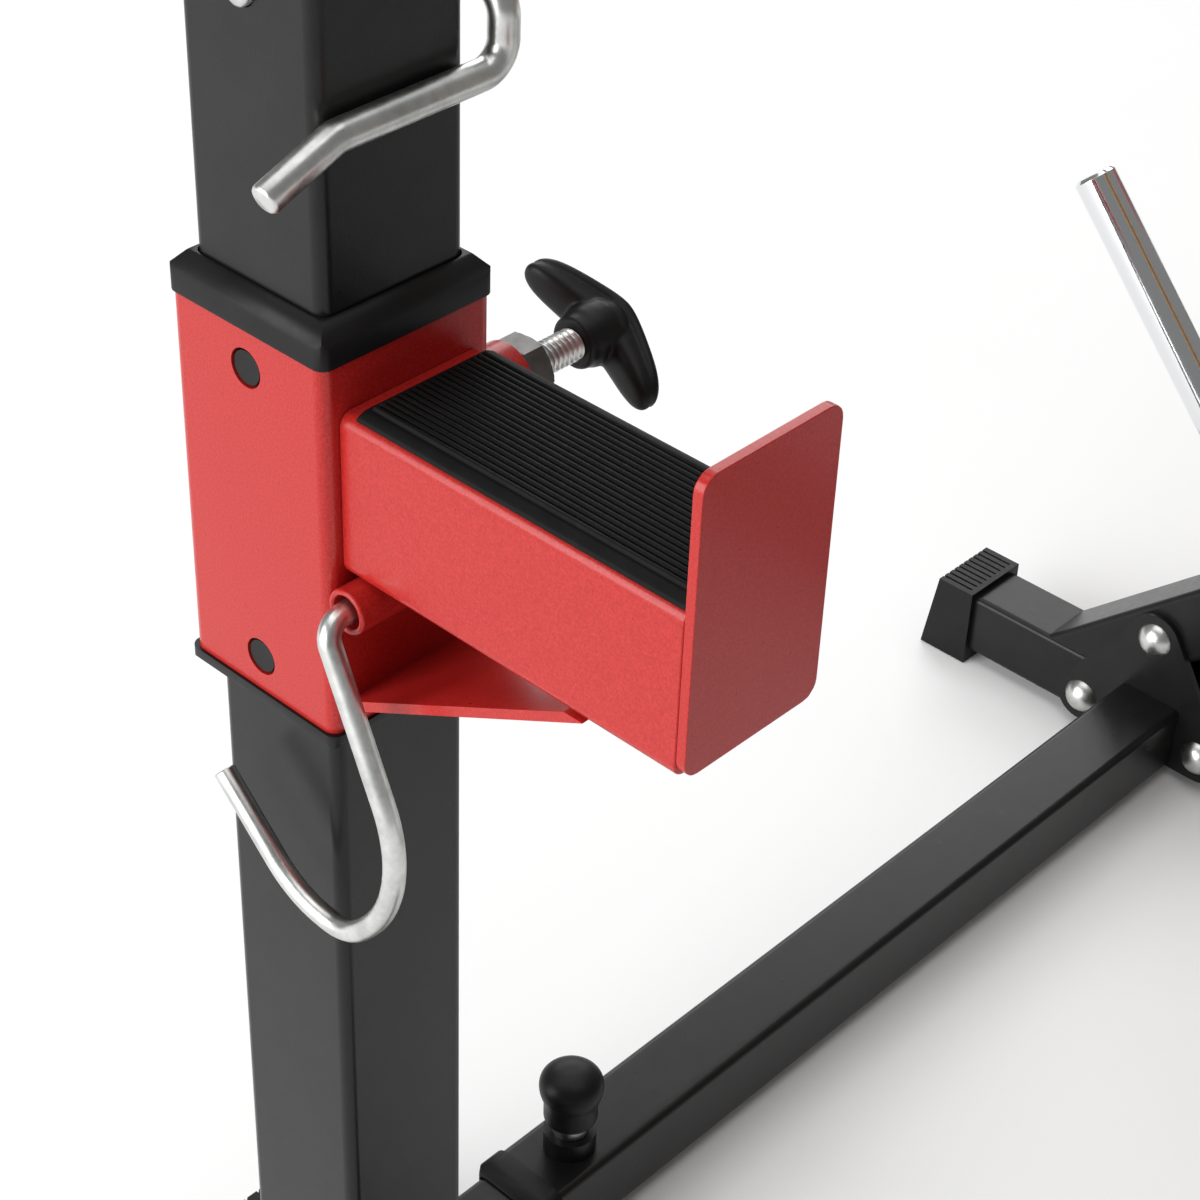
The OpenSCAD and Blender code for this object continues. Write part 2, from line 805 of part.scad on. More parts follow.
// A point at a distance along the hook's plane, in a direction measured from +Y towards +Z
function in_hook_plane(from, turn, dist) = from + dist * [0, cos(turn), sin(turn)];

// Bar hook: its pivot lies in the tube under the arm, and it hangs beside the sleeve
module bar_hook() {
    shank = [hook_x, hook_y, hook_z];
    knee = in_hook_plane(shank, 245.8, 84.2);
    heel = in_hook_plane(knee, 313.3, 41.3);
    toe = in_hook_plane(heel, 2.3, 21.5);
    tip = in_hook_plane(toe, 43.4, 42.4);
    color(zinc) {
        bent_rod([
            [arm / 2 + 3.3, hook_y, hook_z], shank, knee, heel, toe, tip
        ], [6.5, 46.4, 17, 32.4], hook_d);
        translate([0, hook_y, hook_z]) rod_x(arm / 2 + side_gap, arm / 2 + 3.3, 12);
    }
}

// ---- Nodes ----

spine();
front_foot();
foot_caps();
main_post();
front_post();
seat_rail();
rail_plugs();
storage_peg();
bracket_plates();
bracket_bolts();
crossbars();
crossbar_collars();
width_barrels();
color(plastic) base() width_knob();  // left_width_knob
color(plastic) mirror([1, 0, 0]) base() width_knob();  // right_width_knob
hinge_bolt();
backrest_frame();
quadrant();
backrest_board();
backrest_cushion();
backrest_pin();
backrest_pin_knob();
seat_board();
seat_cushion();

left() upright();  // left_upright
left() stand_foot();  // left_foot
left() stand_foot_caps();  // left_foot_caps
left() slider();  // left_slider_tube
left() top_bush();  // left_top_bush
left() height_post();  // left_post
left() bar_catch();  // left_bar_catch
left() catch_liner();  // left_catch_liner
left() lock_pin();  // left_lock_pin
left() sleeve_body();  // left_sleeve
left() sleeve_bushes();  // left_sleeve_bushes
left() arm_tube();  // left_arm
left() end_plate();  // left_end_plate
left() arm_pad();  // left_arm_pad
left() jam_nut();  // left_jam_nut
left() clamp_screw();  // left_clamp_screw
left() clamp_knob();  // left_clamp_knob
left() bar_hook();  // left_hook

right() upright();  // right_upright
right() stand_foot();  // right_foot
right() stand_foot_caps();  // right_foot_caps
right() slider();  // right_slider_tube
right() top_bush();  // right_top_bush
right() height_post();  // right_post
right() bar_catch();  // right_bar_catch
right() catch_liner();  // right_catch_liner
right() lock_pin();  // right_lock_pin
right() sleeve_body();  // right_sleeve
right() sleeve_bushes();  // right_sleeve_bushes
right() arm_tube();  // right_arm
right() end_plate();  // right_end_plate
right() arm_pad();  // right_arm_pad
right() jam_nut();  // right_jam_nut
right() clamp_screw();  // right_clamp_screw
right() clamp_knob();  // right_clamp_knob
right() bar_hook();  // right_hook
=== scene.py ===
import json
import math

import bmesh
import bpy
from mathutils import Matrix, Vector
from mathutils.bvhtree import BVHTree


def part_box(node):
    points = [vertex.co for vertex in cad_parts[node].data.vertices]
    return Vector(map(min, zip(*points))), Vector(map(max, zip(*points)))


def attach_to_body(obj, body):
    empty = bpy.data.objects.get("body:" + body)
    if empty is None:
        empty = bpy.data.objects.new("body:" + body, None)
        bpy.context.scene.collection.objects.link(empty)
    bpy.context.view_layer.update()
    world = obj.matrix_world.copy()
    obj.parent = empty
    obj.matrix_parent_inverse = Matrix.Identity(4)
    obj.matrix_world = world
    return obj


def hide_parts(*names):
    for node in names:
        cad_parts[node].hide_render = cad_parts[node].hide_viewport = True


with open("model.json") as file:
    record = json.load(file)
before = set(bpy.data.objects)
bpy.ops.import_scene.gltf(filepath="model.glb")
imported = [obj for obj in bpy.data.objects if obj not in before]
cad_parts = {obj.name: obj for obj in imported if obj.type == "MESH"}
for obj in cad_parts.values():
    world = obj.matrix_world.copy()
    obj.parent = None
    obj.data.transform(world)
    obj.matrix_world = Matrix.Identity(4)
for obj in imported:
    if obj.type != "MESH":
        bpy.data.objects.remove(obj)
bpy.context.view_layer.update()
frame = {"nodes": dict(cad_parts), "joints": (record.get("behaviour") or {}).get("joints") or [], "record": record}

# Adjustable weight bench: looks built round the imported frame. Metres, the frame's own axes.
# Lengths below are in millimetres where a name ends in _MM or a helper takes millimetres.
MM = 0.001
NODES = frame["nodes"]
JOINTS = {j["name"]: j for j in frame["joints"]}
SLOT_OF = {s["node"]: s["material_slot"] for s in frame["record"]["subparts"]}


# ---- Materials ----

class Shader:
    """A material with a Principled shader and short ways to wire it."""

    def __init__(self, name, base, roughness, metallic=0.0, specular=0.5):
        self.mat = bpy.data.materials.new(name)
        self.mat.use_nodes = True
        self.tree = self.mat.node_tree
        self.bsdf = self.tree.nodes["Principled BSDF"]
        self.bsdf.inputs["Base Color"].default_value = (*base, 1)
        self.bsdf.inputs["Roughness"].default_value = roughness
        self.bsdf.inputs["Metallic"].default_value = metallic
        self.bsdf.inputs["Specular IOR Level"].default_value = specular
        self.coords = self.tree.nodes.new("ShaderNodeTexCoord").outputs["Object"]
        self.normal = None

    def node(self, kind, **values):
        made = self.tree.nodes.new(kind)
        for key, value in values.items():
            if key in made.inputs:
                made.inputs[key].default_value = value
            else:
                setattr(made, key, value)
        return made

    def link(self, out, into):
        self.tree.links.new(out, into)

    def stretched(self, scale):
        mapping = self.node("ShaderNodeMapping")
        mapping.inputs["Scale"].default_value = scale
        self.link(self.coords, mapping.inputs["Vector"])
        return mapping.outputs["Vector"]

    def noise(self, scale, detail=4.0, vector=None, roughness=0.5):
        n = self.node("ShaderNodeTexNoise", Scale=scale, Detail=detail, Roughness=roughness)
        self.link(vector or self.coords, n.inputs["Vector"])
        return n.outputs["Fac"]

    def cells(self, scale):
        n = self.node("ShaderNodeTexVoronoi", Scale=scale, feature="DISTANCE_TO_EDGE")
        self.link(self.coords, n.inputs["Vector"])
        return n.outputs["Distance"]

    def ramp(self, value, stops):
        n = self.node("ShaderNodeValToRGB")
        ramp = n.color_ramp
        while len(ramp.elements) < len(stops):
            ramp.elements.new(0.5)
        for element, (at, colour) in zip(ramp.elements, stops):
            element.position = at
            element.color = (*colour, 1)
        self.link(value, n.inputs["Fac"])
        return n.outputs["Color"]

    def colour(self, value, stops):
        self.link(self.ramp(value, stops), self.bsdf.inputs["Base Color"])

    def rough(self, value, low, high):
        n = self.node("ShaderNodeMapRange")
        n.inputs["To Min"].default_value = low
        n.inputs["To Max"].default_value = high
        self.link(value, n.inputs["Value"])
        self.link(n.outputs["Result"], self.bsdf.inputs["Roughness"])

    def bump(self, height, strength, distance):
        n = self.node("ShaderNodeBump", Strength=strength, Distance=distance)
        self.link(height, n.inputs["Height"])
        if self.normal is not None:
            self.link(self.normal, n.inputs["Normal"])
        self.normal = n.outputs["Normal"]
        self.link(self.normal, self.bsdf.inputs["Normal"])

    def coat(self, weight, roughness):
        self.bsdf.inputs["Coat Weight"].default_value = weight
        self.bsdf.inputs["Coat Roughness"].default_value = roughness


def black_coat():
    s = Shader("black_powder_coat", (0.009, 0.0087, 0.0085), 0.3, specular=0.26)
    s.colour(s.noise(60, 3), [(0.3, (0.0078, 0.0075, 0.0074)), (0.7, (0.0108, 0.0104, 0.0102))])
    s.rough(s.noise(260, 5), 0.24, 0.36)
    s.bump(s.noise(1400, 2), 0.14, 0.0002)
    return s.mat


def red_coat():
    s = Shader("red_powder_coat", (0.43, 0.018, 0.015), 0.34, specular=0.25)
    s.colour(s.noise(1500, 3, roughness=0.7),
             [(0.38, (0.36, 0.012, 0.01)), (0.52, (0.43, 0.018, 0.015)), (0.72, (0.5, 0.03, 0.026))])
    s.rough(s.noise(320, 4), 0.24, 0.36)
    s.bump(s.noise(900, 2), 0.14, 0.0002)
    s.coat(0.2, 0.14)
    return s.mat


def zinc_plate():
    s = Shader("zinc_plating", (0.62, 0.63, 0.62), 0.3, metallic=1.0)
    s.colour(s.noise(130, 6, roughness=0.65),
             [(0.3, (0.5, 0.51, 0.5)), (0.55, (0.66, 0.67, 0.65)), (0.75, (0.76, 0.76, 0.74))])
    s.rough(s.noise(420, 6), 0.22, 0.42)
    s.bump(s.noise(700, 5), 0.12, 0.0002)
    return s.mat


# Zinc of the hex nut, copied darker than the plating elsewhere: its dark tone is painted dark reflection, its
# higher roughness a duller finish.
def nut_zinc_painted_dark():
    s = Shader("nut_zinc_painted_dark", (0.14, 0.135, 0.135), 0.42, metallic=1.0)
    s.colour(s.noise(160, 5), [(0.3, (0.11, 0.105, 0.105)), (0.7, (0.18, 0.172, 0.172))])
    s.rough(s.noise(420, 6), 0.36, 0.52)
    s.bump(s.noise(700, 5), 0.1, 0.0002)
    return s.mat


def chrome_plate():
    s = Shader("chrome_plating", (0.78, 0.79, 0.8), 0.1, metallic=1.0)
    s.rough(s.noise(300, 5), 0.07, 0.16)
    s.bump(s.noise(160, 3), 0.03, 0.0003)
    return s.mat


def black_plastic():
    s = Shader("black_plastic", (0.007, 0.0068, 0.007), 0.42, specular=0.2)
    s.colour(s.noise(90, 3), [(0.3, (0.006, 0.0058, 0.006)), (0.7, (0.0084, 0.0081, 0.0084))])
    s.rough(s.noise(350, 4), 0.34, 0.5)
    s.bump(s.cells(2300), 0.07, 0.0001)
    return s.mat


def ribbed_rubber():
    s = Shader("black_rubber", (0.004, 0.004, 0.004), 0.6, specular=0.12)
    s.colour(s.noise(140, 4), [(0.3, (0.0034, 0.0034, 0.0034)), (0.7, (0.0054, 0.0052, 0.005))])
    s.rough(s.noise(500, 4), 0.5, 0.68)
    s.bump(s.noise(2200, 3), 0.2, 0.0001)
    return s.mat


def black_vinyl():
    s = Shader("black_vinyl", (0.016, 0.016, 0.017), 0.45)
    s.colour(s.noise(30, 4), [(0.3, (0.0135, 0.0135, 0.0145)), (0.7, (0.019, 0.019, 0.0205))])
    s.rough(s.noise(240, 4), 0.38, 0.54)
    s.bump(s.cells(620), 0.35, 0.0004)
    s.bump(s.noise(1600, 3), 0.2, 0.0001)
    return s.mat


def thread_white():
    s = Shader("stitching_thread", (0.05, 0.05, 0.052), 0.7)
    s.colour(s.noise(900, 2), [(0.3, (0.035, 0.035, 0.037)), (0.7, (0.07, 0.07, 0.072))])
    s.bump(s.noise(3200, 2, s.stretched((1, 1, 4))), 0.4, 0.0001)
    return s.mat


def plywood():
    s = Shader("plywood", (0.5, 0.33, 0.18), 0.62)
    grain = s.noise(22, 6, s.stretched((9, 1, 40)), 0.6)
    s.colour(grain, [(0.25, (0.3, 0.18, 0.09)), (0.5, (0.46, 0.3, 0.165)), (0.8, (0.6, 0.43, 0.26))])
    s.rough(grain, 0.55, 0.75)
    s.bump(s.noise(300, 5, s.stretched((3, 1, 8))), 0.3, 0.0003)
    return s.mat


def floor_paint():
    s = Shader("pale_floor", (0.93, 0.93, 0.93), 0.75, specular=0.2)
    s.colour(s.noise(3, 3), [(0.3, (0.925, 0.925, 0.925)), (0.7, (0.94, 0.94, 0.94))])
    return s.mat


MATERIALS = {
    "frame_steel": black_coat(), "red_steel": red_coat(), "zinc": zinc_plate(),
    "chrome": chrome_plate(), "black_plastic": black_plastic(), "rubber": ribbed_rubber(),
    "vinyl": black_vinyl(), "board": plywood(),
}
# The hex nut's material; its darkness is painted dark reflection.
NUT_PAINTED_DARK = nut_zinc_painted_dark()
THREAD = thread_white()


# ---- CAD nodes ----

# Width of the rounded edges in millimetres; anything not named gets EDGE_MM.
EDGE_MM = 0.5
EDGES = {
    "end_plate": 1.1, "top_bush": 1.2, "foot_caps": 0.6, "bar_catch": 1.2, "catch_liner": 1.0,
    "rail_plugs": 1.2, "seat_board": 0.8, "backrest_board": 0.8, "storage_peg": 0.6,
}
# Their flats have round holes, which a bevel would spoil, so these keep the CAD's own corners.
DRILLED = ("sleeve", "upright", "post", "slider_tube", "spine", "main_post", "seat_rail", "crossbars",
           "quadrant", "bracket_plates", "backrest_frame")
# Soft plastic lips, whose small steps are shaded as curves.
MOULDED = ("sleeve_bushes", "crossbar_collars")
WELD_DISTANCE = 2e-6  # Metres between corners that are the same corner.
SHARP_DEGREES = 38  # Edges that turn more than this stay crisp or get a bevel.
MOULDED_DEGREES = 58


def short_name(node):
    """A node's name without its side."""
    side, _, rest = node.partition("_")
    return rest if side in ("left", "right") else node


def clear_normals(mesh):
    """Drops the mesh's stored normals, so that modifiers can set new ones."""
    normals = mesh.attributes.get("custom_normal")
    if normals is not None:
        mesh.attributes.remove(normals)
    for polygon in mesh.polygons:
        polygon.use_smooth = True


def dress(node):
    """A CAD node gets its slot's material and softly rounded, evenly shaded edges."""
    obj = NODES[node]
    kind = short_name(node)
    obj.data.materials.clear()
    obj.data.materials.append(MATERIALS[SLOT_OF[node]])
    clear_normals(obj.data)
    obj.modifiers.new("weld", "WELD").merge_threshold = WELD_DISTANCE
    if kind in DRILLED or kind in MOULDED:
        sharp = MOULDED_DEGREES if kind in MOULDED else SHARP_DEGREES
        obj.modifiers.new("crisp_edges", "EDGE_SPLIT").split_angle = math.radians(sharp)
    else:
        bevel = obj.modifiers.new("round_edges", "BEVEL")
        bevel.width = EDGES.get(kind, EDGE_MM) * MM
        bevel.segments = 3
        bevel.limit_method = "ANGLE"
        bevel.angle_limit = math.radians(SHARP_DEGREES)
    if kind not in MOULDED:
        obj.modifiers.new("even_shading", "WEIGHTED_NORMAL").weight = 60


# ---- Mesh building ----

def mesh_object(name, verts, faces, material, smooth=True):
    mesh = bpy.data.meshes.new(name)
    mesh.from_pydata([tuple(v) for v in verts], [], faces)
    mesh.update()
    for polygon in mesh.polygons:
        polygon.use_smooth = smooth
    mesh.materials.append(material)
    obj = bpy.data.objects.new(name, mesh)
    bpy.context.scene.collection.objects.link(obj)
    return obj


def outward(obj):
    """Turns every face of a closed mesh outward."""
    work = bmesh.new()
    work.from_mesh(obj.data)
    bmesh.ops.recalc_face_normals(work, faces=work.faces)
    work.to_mesh(obj.data)
    work.free()
    return obj


def attach(obj, body, slot_name, *nodes):
    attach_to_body(obj, body)
    if nodes:
        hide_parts(*nodes)
    return obj


def mirror_copy(obj, name):
    """The same mesh for the other stand, mirrored across the centre plane."""
    twin = mesh_object(name, [(-v.co.x, v.co.y, v.co.z) for v in obj.data.vertices],
                       [tuple(reversed(p.vertices)) for p in obj.data.polygons],
                       obj.data.materials[0])
    for a, b in zip(twin.data.polygons, obj.data.polygons):
        a.use_smooth = b.use_smooth
    return twin


def rings_mesh(name, rings, material, closed_ends=True):
    """Skin over a list of rings, each with the same number of points."""
    verts = [p for ring in rings for p in ring]
    n = len(rings[0])
    faces = []
    for i in range(len(rings) - 1):
        for k in range(n):
            a, b = i * n + k, i * n + (k + 1) % n
            faces.append((a, b, b + n, a + n))
    if closed_ends:
        faces.append(tuple(range(n - 1, -1, -1)))
        last = (len(rings) - 1) * n
        faces.append(tuple(range(last, last + n)))
    return outward(mesh_object(name, verts, faces, material))


def sweep(name, path, radii, material, sides=24):
    """A tube along a dense path, with one radius per point and frames carried along it."""
    path = [Vector(p) for p in path]
    rings, up = [], None
    for i, p in enumerate(path):
        ahead = (path[min(i + 1, len(path) - 1)] - path[max(i - 1, 0)]).normalized()
        if up is None:
            up = ahead.orthogonal().normalized()
        up = (up - ahead * up.dot(ahead)).normalized()
        side = ahead.cross(up)
        rings.append([p + (up * math.cos(a) + side * math.sin(a)) * radii[i]
                      for a in (2 * math.pi * k / sides for k in range(sides))])
    return rings_mesh(name, rings, material)


DEGREES_PER_POINT = 4


def rounded_path(points, bends):
    """Points along straight legs joined by arcs; bends holds one radius per inner corner."""
    points = [Vector(p) for p in points]
    path = [points[0]]
    for i in range(1, len(points) - 1):
        a, p, b = points[i - 1], points[i], points[i + 1]
        u, v = (a - p).normalized(), (b - p).normalized()
        turn = math.pi - u.angle(v)
        reach = bends[i - 1] * math.tan(turn / 2)
        centre = p + (u + v).normalized() * bends[i - 1] / math.cos(turn / 2)
        start, end = p + u * reach, p + v * reach
        axis = (start - centre).cross(end - centre).normalized()
        count = max(3, round(math.degrees(turn) / DEGREES_PER_POINT))
        for k in range(count + 1):
            path.append(centre + Matrix.Rotation(turn * k / count, 3, axis) @ (start - centre))
    path.append(points[-1])
    return path


def cut_ends(path, radius, chamfer):
    """The path with a short chamfer at both ends, and the radius at each of its points."""
    first = (path[1] - path[0]).normalized()
    last = (path[-2] - path[-1]).normalized()
    whole = [path[0], path[0] + first * chamfer * 0.35, path[0] + first * chamfer,
             *path[1:-1], path[-1] + last * chamfer, path[-1] + last * chamfer * 0.35, path[-1]]
    radii = [radius] * len(whole)
    for end, inner in ((0, 1), (-1, -2)):
        radii[end] = radius - chamfer
        radii[inner] = radius - chamfer * 0.35
    return whole, radii


def lathe(name, profile, centre, axis, material, sides=64):
    """A turned piece: profile holds (distance along the axis, radius)."""
    axis = Vector(axis).normalized()
    up = axis.orthogonal().normalized()
    side = axis.cross(up)
    rings = []
    for along, radius in profile:
        rings.append([Vector(centre) + axis * along + (up * math.cos(a) + side * math.sin(a)) * radius
                      for a in (2 * math.pi * k / sides for k in range(sides))])
    return rings_mesh(name, rings, material)


# ---- The left stand's own coordinates: millimetres from its axis, on the floor ----

LOW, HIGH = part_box("left_upright")
STAND = Vector(((LOW.x + HIGH.x) / 2, (LOW.y + HIGH.y) / 2, 0))


def at(x, y, z):
    """A point of the left stand, in metres, from its millimetres."""
    return STAND + Vector((x, y, z)) * MM


def local(node):
    """Box of a CAD node in the left stand's millimetres."""
    lo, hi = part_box(node)
    return (lo - STAND) / MM, (hi - STAND) / MM


def both_sides(obj, stem, body, slot_name, *nodes):
    """Attaches a piece of the left stand and makes its mirrored twin on the right one."""
    twin = mirror_copy(obj, "right_" + stem)
    obj.name = obj.data.name = "left_" + stem
    attach(obj, "left_" + body, slot_name, *["left_" + n for n in nodes])
    attach(twin, "right_" + body, slot_name, *["right_" + n for n in nodes])


# The hook hangs in one plane. Its legs are lengths and directions, in degrees from +Y towards +Z.
HOOK_PLANE = -38
HOOK_LEGS = ((84.2, 245.8), (41.3, 313.3), (21.5, 2.3), (42.4, 43.4))
HOOK_BENDS = (6.5, 46.4, 17, 32.4)
HOOK_RADIUS = 3.3


def hook_pivot():
    """A point on the left hook's swing axis, in the left stand's millimetres."""
    return (Vector(JOINTS["left_hook_swing"]["pos_m"]) - STAND) / MM


def hook():
    """The bar hook, one bent rod from its pivot to the curled tip."""
    pivot = hook_pivot()
    points = [Vector((local("left_hook")[1].x, pivot.y, pivot.z)), Vector((HOOK_PLANE, pivot.y, pivot.z))]
    for length, turn in HOOK_LEGS:
        a = math.radians(turn)
        points.append(points[-1] + length * Vector((0, math.cos(a), math.sin(a))))
    path = rounded_path(points, HOOK_BENDS)
    path, radii = cut_ends([at(*p) for p in path], HOOK_RADIUS * MM, 0.5 * MM)
    both_sides(sweep("hook", path, radii, MATERIALS["zinc"]), "swing_hook", "swing_hook", "zinc", "hook")


def pivot_lips():
    """Rounded, painted mouth of the pivot tube that carries the hook."""
    pivot = hook_pivot()
    mouth = local("left_sleeve")[0].x + 0.5
    wall_middle, half_wall, bulge = 5.85, 0.9, 0.85
    steps, sides = 12, 56
    rings = []
    for k in range(steps + 1):
        a = math.pi * k / steps
        along, r = -bulge * math.sin(a), wall_middle - half_wall * math.cos(a)
        rings.append([at(mouth + along, pivot.y + r * math.cos(t), pivot.z + r * math.sin(t))
                      for t in (2 * math.pi * i / sides for i in range(sides))])
    lip = rings_mesh("lip", rings, MATERIALS["red_steel"], closed_ends=False)
    both_sides(lip, "pivot_tube_lip", "safety_arm", "red_steel")


PIN_D = 8.5
PIN_TIP = -27.5


def lock_pin():
    """The locking pin with its handle bent round the upright."""
    d = PIN_D
    tube_half = (HIGH.x - LOW.x) / 2 / MM
    top = local("left_lock_pin")[1].z - d / 2
    front = -(tube_half + d / 2 + 0.25)
    inner = tube_half + d / 2 + 4
    points = [(PIN_TIP, 0, top), (inner, 0, top), (inner, front, top - 9), (inner, front, top - 28),
              (-23, front, top - 28.5), (-46, front, top - 37.5)]
    path = rounded_path(points, [8, 8, 8, 9])
    path, radii = cut_ends([at(*p) for p in path], d / 2 * MM, 1.1 * MM)
    both_sides(sweep("pin", path, radii, MATERIALS["zinc"], 32), "locking_rod", "locking_pin",
               "zinc", "lock_pin")


def thread_mesh(x0, x1, z, d, pitch, inner_from):
    """A screw along X with a real helical thread from inner_from on."""
    sides, rings = 36, []
    x = x0
    while x < x1 + 1e-6:
        ring = []
        for k in range(sides):
            phase = (x / pitch - k / sides) % 1.0
            height = min(1.0, max(0.0, 1.25 * abs(2 * phase - 1) - 0.12))
            r = d / 2 - (1.15 * (1 - height) if x > inner_from else 0.1)
            a = 2 * math.pi * k / sides
            ring.append(at(x, r * math.cos(a), z + r * math.sin(a)))
        rings.append(ring)
        x += 3 if x < inner_from - 3 else pitch / 9
    return rings_mesh("screw", rings, MATERIALS["zinc"])


KNOB_HALF = 28.7  # Half the length of the T-knob's handle.
KNOB_TURN = 27.5  # Degrees that the handle is turned from level.


def clamp():
    """Threaded clamp screw, chamfered hex nut and the sculpted T-knob."""
    lo, hi = local("left_clamp_screw")
    z = (lo.z + hi.z) / 2
    nut_lo, nut_hi = local("left_jam_nut")
    screw = thread_mesh(lo.x, hi.x, z, hi.y - lo.y, 2.0, nut_lo.x - 2)
    both_sides(screw, "screw_thread", "clamp", "zinc", "clamp_screw")
    flat = nut_hi.y - nut_lo.y
    both_sides(hex_nut(nut_lo.x, nut_hi.x, z, flat), "hex_nut", "safety_arm", "zinc", "jam_nut")
    knob_x = local("left_clamp_knob")[0].x
    both_sides(t_knob(knob_x, z), "t_handle", "clamp", "black_plastic", "clamp_knob")


def hex_nut(x0, x1, z, flat):
    """A nut with chamfered corners: each ring is a hexagon cut by a cone."""
    sides, rings = 96, []
    for depth, end in ((0, 0), (0.5, 0), (1.1, 0), (1.8, 0), (1.8, 1), (1.1, 1), (0.5, 1), (0, 1)):
        x = x1 - depth if end else x0 + depth
        ring = []
        for k in range(sides):
            a = 2 * math.pi * k / sides
            corner = (math.degrees(a) + 30) % 60 - 30
            r = min(flat / 2 / math.cos(math.radians(corner)), flat / 2 * 0.985 + depth * 1.73)
            ring.append(at(x, r * math.cos(a + math.pi / 6), z + r * math.sin(a + math.pi / 6)))
        rings.append(ring)
    # The nut's dark material is painted dark reflection; the plating itself is the same zinc as the screw.
    nut = rings_mesh("nut", rings, NUT_PAINTED_DARK)
    nut.data.set_sharp_from_angle(angle=math.radians(28))
    return nut


def wing_bar(x0, z, back, shape):
    """A bar along the knob's handle: shape(u) gives depth behind the back edge, thickness, half width."""
    turn = math.radians(KNOB_TURN)
    along = Vector((0, math.cos(turn), math.sin(turn)))
    across = Vector((0, -math.sin(turn), math.cos(turn)))
    rings = []
    for i in range(41):
        h = KNOB_HALF * math.sin((-1 + i / 20) * math.pi / 2)
        u = abs(h) / KNOB_HALF
        end = max(0.05, (1 - u ** 7) ** 0.5)
        depth, thick, wide = shape(u)
        middle = Vector((x0 + back(u) - depth - thick / 2, 0, z)) + along * h
        rings.append([at(*(middle + Vector((1, 0, 0)) * end * thick / 2 * power_round(math.cos(a))
                           + across * end * wide * power_round(math.sin(a))))
                      for a in (2 * math.pi * k / 32 for k in range(32))])
    return rings_mesh("wing", rings, MATERIALS["black_plastic"])


def power_round(value):
    """Pushes a circle towards a rounded square."""
    return math.copysign(abs(value) ** 0.72, value)


def t_knob(x0, z):
    """Boss, web and thick back bar of the clamp's T-knob, melted into one skin."""
    def back(u):
        return 21.8 - 12.6 * (math.hypot(u, 0.2) - 0.2)
    bar = wing_bar(x0, z, back, lambda u: (0, 5.8 - 1.0 * u, 8.7 - 2.0 * u))
    web = wing_bar(x0, z, back, lambda u: (1.2, 13.4 - 6.0 * u, 7.8 - 2.0 * u))
    boss = lathe("boss", [(0, 7.6 * MM), (0.0006, 8.3 * MM), (0.003, 8.6 * MM), (0.005, 9.4 * MM),
                          (0.008, 9.9 * MM), (0.012, 10 * MM), (0.016, 8.6 * MM), (0.019, 5 * MM)],
                 at(x0, 0, z), (1, 0, 0), MATERIALS["black_plastic"], 48)
    return melt([bar, web, boss], 0.5 * MM, 5)


def melt(pieces, voxel, rounds):
    """Joins closed meshes into one skin by voxel remesh, then smooths it."""
    work = bmesh.new()
    for piece in pieces:
        work.from_mesh(piece.data)
    first = pieces[0]
    work.to_mesh(first.data)
    work.free()
    for piece in pieces[1:]:
        bpy.data.objects.remove(piece)
    remesh = first.modifiers.new("melt", "REMESH")
    remesh.mode = "VOXEL"
    remesh.voxel_size = voxel
    smooth = first.modifiers.new("even", "SMOOTH")
    smooth.factor = 0.6
    smooth.iterations = rounds
    apply_modifiers(first)
    return first


def apply_modifiers(obj):
    """Bakes an object's modifiers into its mesh."""
    bpy.context.view_layer.update()
    graph = bpy.context.evaluated_depsgraph_get()
    mesh = bpy.data.meshes.new_from_object(obj.evaluated_get(graph), depsgraph=graph)
    obj.modifiers.clear()
    old, obj.data = obj.data, mesh
    bpy.data.meshes.remove(old)
    for polygon in obj.data.polygons:
        polygon.use_smooth = True


def arm_pad():
    """Rubber pad with fine ribs that run along the arm inside a plain border."""
    lo, hi = local("left_arm_pad")
    ribs, border, rise = 19, 3.2, 1.3
    flat = hi.z - rise
    pitch = (hi.x - lo.x - 2 * border - 0.8) / ribs
    columns = [(lo.x, 0, 0), (lo.x, flat - lo.z - 1.5, 0), (lo.x + 0.3, flat - lo.z - 1.1, 0),
               (lo.x + 2.3, flat - lo.z - 0.15, 0), (lo.x + 2.8, flat - lo.z, 0)]
    for i in range(ribs):
        x = lo.x + border + 0.4 + i * pitch
        for share, up in ((0.06, 0), (0.14, 0.75), (0.26, 1), (0.62, 1), (0.74, 0.75), (0.82, 0)):
            columns.append((x + share * pitch, flat - lo.z, up * rise))
    columns += [(lo.x + hi.x - x, z, up) for x, z, up in reversed(columns[:5])]
    rows = [(0, 0.0, 0.75), (0.25, 0.0, 0.93), (0.8, 0.0, 1), (1.5, 0.0, 1), (1.9, 0.75, 1), (2.5, 1, 1)]
    rows = rows + [(hi.y - lo.y - y, up, top) for y, up, top in reversed(rows)]
    verts, faces = [], []
    for y, up, top in rows:
        verts += [at(x, lo.y + y, lo.z + h * top + ridge * up) for x, h, ridge in columns]
    n = len(columns)
    for i in range(len(rows) - 1):
        for k in range(n - 1):
            faces.append((i * n + k, i * n + k + 1, (i + 1) * n + k + 1, (i + 1) * n + k))
        faces.append((i * n, (i + 1) * n, (i + 1) * n + n - 1, i * n + n - 1))
    faces.append(tuple(range(n)))
    last = (len(rows) - 1) * n
    faces.append(tuple(range(last + n - 1, last - 1, -1)))
    pad = outward(mesh_object("pad", verts, faces, MATERIALS["rubber"]))
    pad.data.set_sharp_from_angle(angle=math.radians(50))
    both_sides(pad, "ribbed_pad", "safety_arm", "rubber", "arm_pad")


